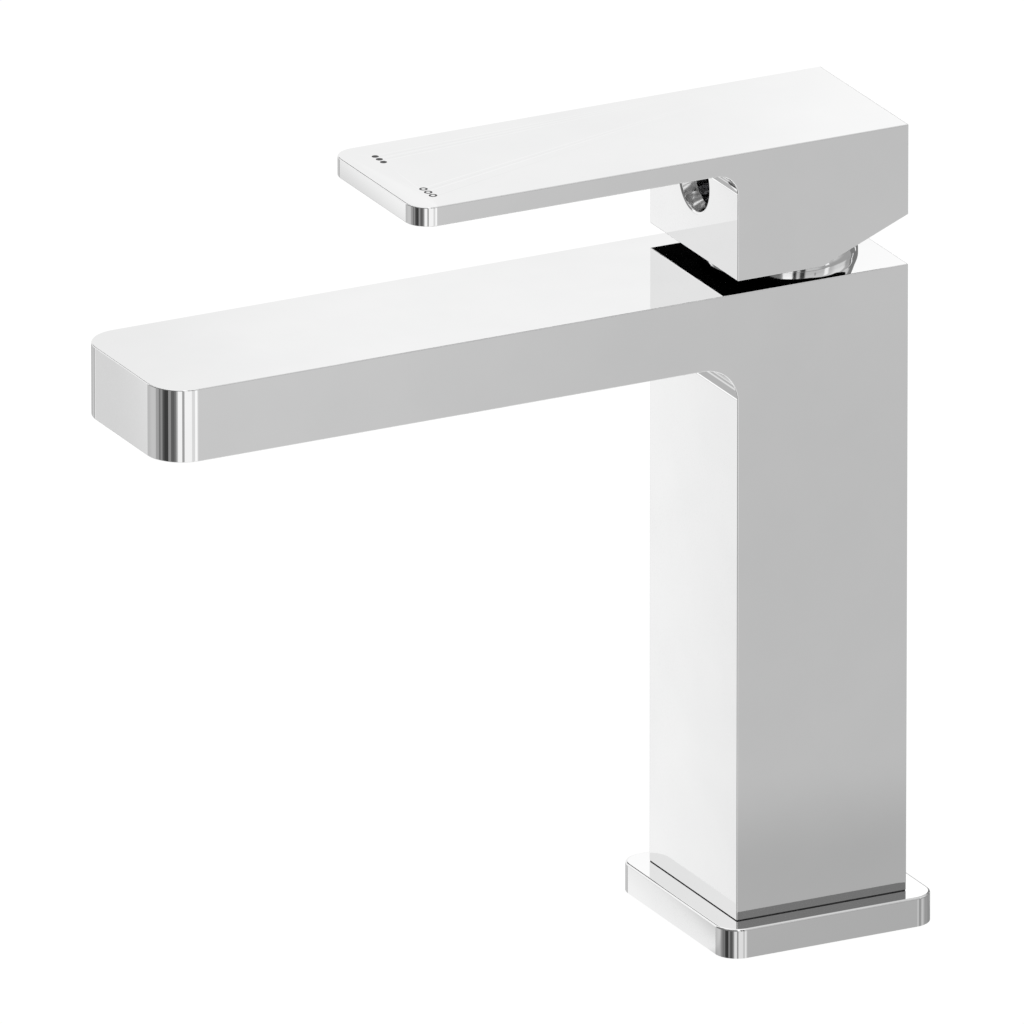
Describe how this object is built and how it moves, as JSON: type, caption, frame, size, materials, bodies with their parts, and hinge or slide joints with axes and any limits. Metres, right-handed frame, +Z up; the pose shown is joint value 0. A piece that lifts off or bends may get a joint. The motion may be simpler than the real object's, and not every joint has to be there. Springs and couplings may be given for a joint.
{
  "type": "single-lever bathroom mixer",
  "caption": "Square-column single-lever mixer with a long flat spout, a block handle with a flat lever, and a ceramic-disc cartridge inside.",
  "frame": {"origin": "centre of the base plate's underside, on the column's axis", "axes": "+Z up; -Y along the spout and the lever, towards the user; +X to the user's right, the cold side"},
  "size_m": [0.05, 0.1785, 0.1772],
  "materials": {
    "chrome": "polished",
    "brass": "satin",
    "rubber": "matte",
    "plastic": "satin",
    "ceramic": "polished",
    "steel": "satin",
    "ink": "satin"
  },
  "bodies": {
    "root": {"base_plate": "chrome", "deck_gasket": "rubber", "body_gasket": "rubber", "body_shell": "chrome", "waterway_block": "brass", "block_seal": "rubber", "neck_seal": "rubber", "cartridge_base": "plastic", "port_seals": "rubber", "fixed_disc": "ceramic", "cartridge_housing": "plastic", "retaining_nut": "brass", "dome_cap": "chrome", "dome_seal": "rubber", "aerator_housing": "chrome", "aerator_washer": "rubber", "aerator_screen": "steel", "flow_regulator": "plastic", "aerator_insert": "plastic", "aerator_grid": "plastic"},
    "swivel": {"cartridge_rotor": "plastic", "rotor_seal": "rubber", "spindle_pin": "steel"},
    "lever": {"spindle": "brass", "handle": "chrome", "grub_screw": "steel", "hot_mark": "ink", "cold_mark": "ink"},
    "disc": {"moving_disc": "ceramic", "disc_carrier": "plastic"}
  },
  "joints": [
    {"name": "temperature_turn", "type": "hinge", "parent": "root", "child": "swivel", "pos_m": [0, 0, 0.1443], "axis": [0, 0, 1], "range_deg": [-45, 45]},
    {"name": "lever_lift", "type": "hinge", "parent": "swivel", "child": "lever", "pos_m": [0, 0, 0.1443], "axis": [-1, 0, 0], "range_deg": [0, 25]},
    {"name": "disc_slide", "type": "slide", "parent": "swivel", "child": "disc", "axis": [0, -1, 0], "range_m": [0, 0.0039]}
  ],
  "couplings": [
    {"joint": "disc_slide", "follows": "lever_lift", "m_per_rad": 0.008929}
  ]
}
